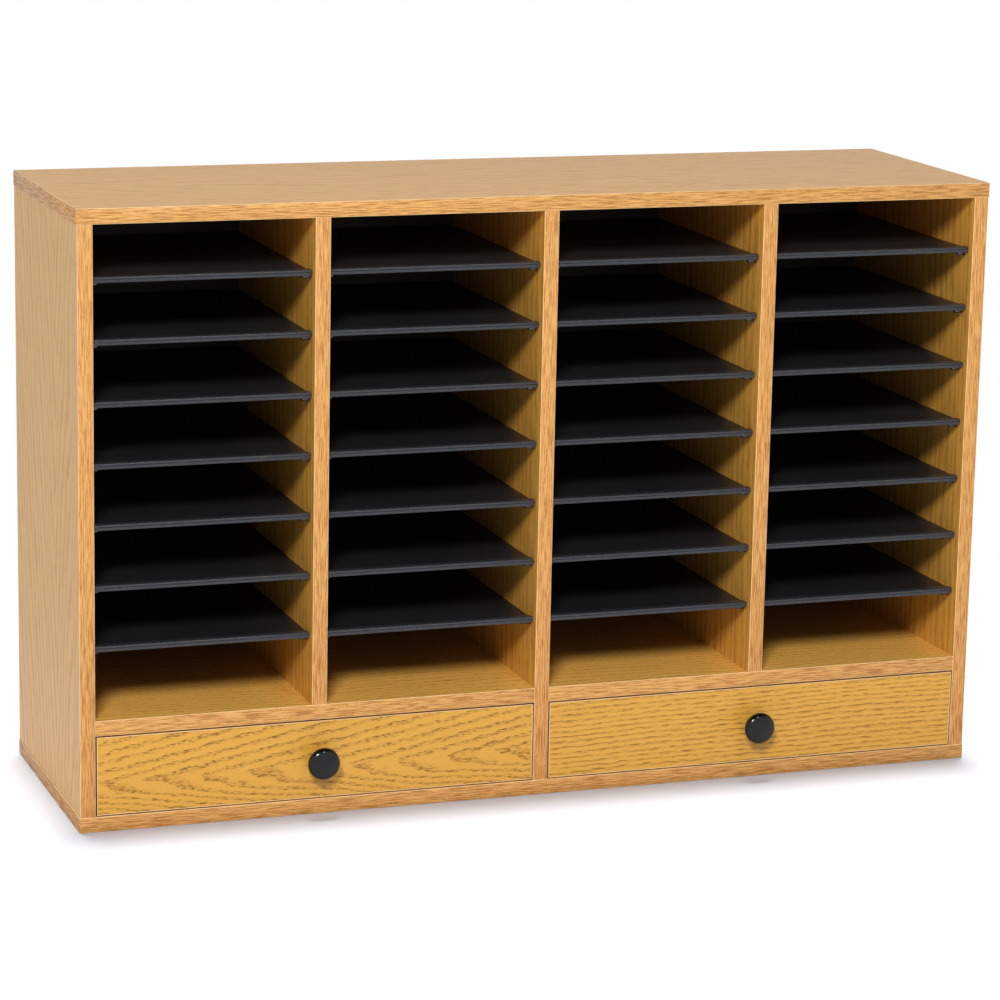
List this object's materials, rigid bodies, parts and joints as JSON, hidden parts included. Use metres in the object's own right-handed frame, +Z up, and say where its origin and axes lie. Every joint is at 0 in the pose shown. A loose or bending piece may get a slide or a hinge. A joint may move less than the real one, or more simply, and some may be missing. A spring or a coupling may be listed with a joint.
{
  "type": "literature organizer",
  "caption": "Desktop literature organizer of wood-grain boards: columns of loose flat shelves on pins over inset drawers with round knobs.",
  "frame": {"origin": "middle of the bottom panel's underside, which stands on the desk", "axes": "+X to the right along the width, +Y to the back, +Z up; the drawers and shelves pull out along -Y"},
  "size_m": [0.997, 0.3236, 0.6414],
  "materials": {
    "oak_laminate": "satin",
    "edge_band": "satin",
    "dark_hardboard": "matte",
    "drawer_board": "matte",
    "dowel_wood": "matte",
    "pin_steel": "satin",
    "knob_plastic": "gloss"
  },
  "bodies": {
    "case": {"top_panel": "oak_laminate", "bottom_panel": "oak_laminate", "left_side_panel": "oak_laminate", "right_side_panel": "oak_laminate", "center_partition": "oak_laminate", "left_column_divider": "oak_laminate", "right_column_divider": "oak_laminate", "left_drawer_deck": "oak_laminate", "right_drawer_deck": "oak_laminate", "back_panel": "dark_hardboard", "level_edge_bands": "edge_band", "upright_edge_bands": "edge_band", "joint_dowels": "dowel_wood", "shelf_pins": "pin_steel"},
    "left_drawer": {"left_drawer_front": "oak_laminate", "left_drawer_front_bands": "edge_band", "left_drawer_left_side": "drawer_board", "left_drawer_right_side": "drawer_board", "left_drawer_back": "drawer_board", "left_drawer_bottom": "dark_hardboard", "left_drawer_dowels": "dowel_wood", "left_drawer_knob": "knob_plastic", "left_drawer_knob_screw": "pin_steel"},
    "right_drawer": {"right_drawer_front": "oak_laminate", "right_drawer_front_bands": "edge_band", "right_drawer_left_side": "drawer_board", "right_drawer_right_side": "drawer_board", "right_drawer_back": "drawer_board", "right_drawer_bottom": "dark_hardboard", "right_drawer_dowels": "dowel_wood", "right_drawer_knob": "knob_plastic", "right_drawer_knob_screw": "pin_steel"},
    "column_1_shelf_1": {"column_1_shelf_1": "dark_hardboard"},
    "column_1_shelf_2": {"column_1_shelf_2": "dark_hardboard"},
    "column_1_shelf_3": {"column_1_shelf_3": "dark_hardboard"},
    "column_1_shelf_4": {"column_1_shelf_4": "dark_hardboard"},
    "column_1_shelf_5": {"column_1_shelf_5": "dark_hardboard"},
    "column_1_shelf_6": {"column_1_shelf_6": "dark_hardboard"},
    "column_1_shelf_7": {"column_1_shelf_7": "dark_hardboard"},
    "column_2_shelf_1": {"column_2_shelf_1": "dark_hardboard"},
    "column_2_shelf_2": {"column_2_shelf_2": "dark_hardboard"},
    "column_2_shelf_3": {"column_2_shelf_3": "dark_hardboard"},
    "column_2_shelf_4": {"column_2_shelf_4": "dark_hardboard"},
    "column_2_shelf_5": {"column_2_shelf_5": "dark_hardboard"},
    "column_2_shelf_6": {"column_2_shelf_6": "dark_hardboard"},
    "column_2_shelf_7": {"column_2_shelf_7": "dark_hardboard"},
    "column_3_shelf_1": {"column_3_shelf_1": "dark_hardboard"},
    "column_3_shelf_2": {"column_3_shelf_2": "dark_hardboard"},
    "column_3_shelf_3": {"column_3_shelf_3": "dark_hardboard"},
    "column_3_shelf_4": {"column_3_shelf_4": "dark_hardboard"},
    "column_3_shelf_5": {"column_3_shelf_5": "dark_hardboard"},
    "column_3_shelf_6": {"column_3_shelf_6": "dark_hardboard"},
    "column_3_shelf_7": {"column_3_shelf_7": "dark_hardboard"},
    "column_4_shelf_1": {"column_4_shelf_1": "dark_hardboard"},
    "column_4_shelf_2": {"column_4_shelf_2": "dark_hardboard"},
    "column_4_shelf_3": {"column_4_shelf_3": "dark_hardboard"},
    "column_4_shelf_4": {"column_4_shelf_4": "dark_hardboard"},
    "column_4_shelf_5": {"column_4_shelf_5": "dark_hardboard"},
    "column_4_shelf_6": {"column_4_shelf_6": "dark_hardboard"},
    "column_4_shelf_7": {"column_4_shelf_7": "dark_hardboard"}
  },
  "joints": [
    {"name": "left_drawer_slide", "type": "slide", "parent": "case", "child": "left_drawer", "axis": [0, -1, 0], "range_m": [0, 0.23]},
    {"name": "right_drawer_slide", "type": "slide", "parent": "case", "child": "right_drawer", "axis": [0, -1, 0], "range_m": [0, 0.23]},
    {"name": "column_1_shelf_1_slide", "type": "slide", "parent": "case", "child": "column_1_shelf_1", "axis": [0, -1, 0], "range_m": [0, 0.3]},
    {"name": "column_1_shelf_2_slide", "type": "slide", "parent": "case", "child": "column_1_shelf_2", "axis": [0, -1, 0], "range_m": [0, 0.3]},
    {"name": "column_1_shelf_3_slide", "type": "slide", "parent": "case", "child": "column_1_shelf_3", "axis": [0, -1, 0], "range_m": [0, 0.3]},
    {"name": "column_1_shelf_4_slide", "type": "slide", "parent": "case", "child": "column_1_shelf_4", "axis": [0, -1, 0], "range_m": [0, 0.3]},
    {"name": "column_1_shelf_5_slide", "type": "slide", "parent": "case", "child": "column_1_shelf_5", "axis": [0, -1, 0], "range_m": [0, 0.3]},
    {"name": "column_1_shelf_6_slide", "type": "slide", "parent": "case", "child": "column_1_shelf_6", "axis": [0, -1, 0], "range_m": [0, 0.3]},
    {"name": "column_1_shelf_7_slide", "type": "slide", "parent": "case", "child": "column_1_shelf_7", "axis": [0, -1, 0], "range_m": [0, 0.3]},
    {"name": "column_2_shelf_1_slide", "type": "slide", "parent": "case", "child": "column_2_shelf_1", "axis": [0, -1, 0], "range_m": [0, 0.3]},
    {"name": "column_2_shelf_2_slide", "type": "slide", "parent": "case", "child": "column_2_shelf_2", "axis": [0, -1, 0], "range_m": [0, 0.3]},
    {"name": "column_2_shelf_3_slide", "type": "slide", "parent": "case", "child": "column_2_shelf_3", "axis": [0, -1, 0], "range_m": [0, 0.3]},
    {"name": "column_2_shelf_4_slide", "type": "slide", "parent": "case", "child": "column_2_shelf_4", "axis": [0, -1, 0], "range_m": [0, 0.3]},
    {"name": "column_2_shelf_5_slide", "type": "slide", "parent": "case", "child": "column_2_shelf_5", "axis": [0, -1, 0], "range_m": [0, 0.3]},
    {"name": "column_2_shelf_6_slide", "type": "slide", "parent": "case", "child": "column_2_shelf_6", "axis": [0, -1, 0], "range_m": [0, 0.3]},
    {"name": "column_2_shelf_7_slide", "type": "slide", "parent": "case", "child": "column_2_shelf_7", "axis": [0, -1, 0], "range_m": [0, 0.3]},
    {"name": "column_3_shelf_1_slide", "type": "slide", "parent": "case", "child": "column_3_shelf_1", "axis": [0, -1, 0], "range_m": [0, 0.3]},
    {"name": "column_3_shelf_2_slide", "type": "slide", "parent": "case", "child": "column_3_shelf_2", "axis": [0, -1, 0], "range_m": [0, 0.3]},
    {"name": "column_3_shelf_3_slide", "type": "slide", "parent": "case", "child": "column_3_shelf_3", "axis": [0, -1, 0], "range_m": [0, 0.3]},
    {"name": "column_3_shelf_4_slide", "type": "slide", "parent": "case", "child": "column_3_shelf_4", "axis": [0, -1, 0], "range_m": [0, 0.3]},
    {"name": "column_3_shelf_5_slide", "type": "slide", "parent": "case", "child": "column_3_shelf_5", "axis": [0, -1, 0], "range_m": [0, 0.3]},
    {"name": "column_3_shelf_6_slide", "type": "slide", "parent": "case", "child": "column_3_shelf_6", "axis": [0, -1, 0], "range_m": [0, 0.3]},
    {"name": "column_3_shelf_7_slide", "type": "slide", "parent": "case", "child": "column_3_shelf_7", "axis": [0, -1, 0], "range_m": [0, 0.3]},
    {"name": "column_4_shelf_1_slide", "type": "slide", "parent": "case", "child": "column_4_shelf_1", "axis": [0, -1, 0], "range_m": [0, 0.3]},
    {"name": "column_4_shelf_2_slide", "type": "slide", "parent": "case", "child": "column_4_shelf_2", "axis": [0, -1, 0], "range_m": [0, 0.3]},
    {"name": "column_4_shelf_3_slide", "type": "slide", "parent": "case", "child": "column_4_shelf_3", "axis": [0, -1, 0], "range_m": [0, 0.3]},
    {"name": "column_4_shelf_4_slide", "type": "slide", "parent": "case", "child": "column_4_shelf_4", "axis": [0, -1, 0], "range_m": [0, 0.3]},
    {"name": "column_4_shelf_5_slide", "type": "slide", "parent": "case", "child": "column_4_shelf_5", "axis": [0, -1, 0], "range_m": [0, 0.3]},
    {"name": "column_4_shelf_6_slide", "type": "slide", "parent": "case", "child": "column_4_shelf_6", "axis": [0, -1, 0], "range_m": [0, 0.3]},
    {"name": "column_4_shelf_7_slide", "type": "slide", "parent": "case", "child": "column_4_shelf_7", "axis": [0, -1, 0], "range_m": [0, 0.3]}
  ]
}
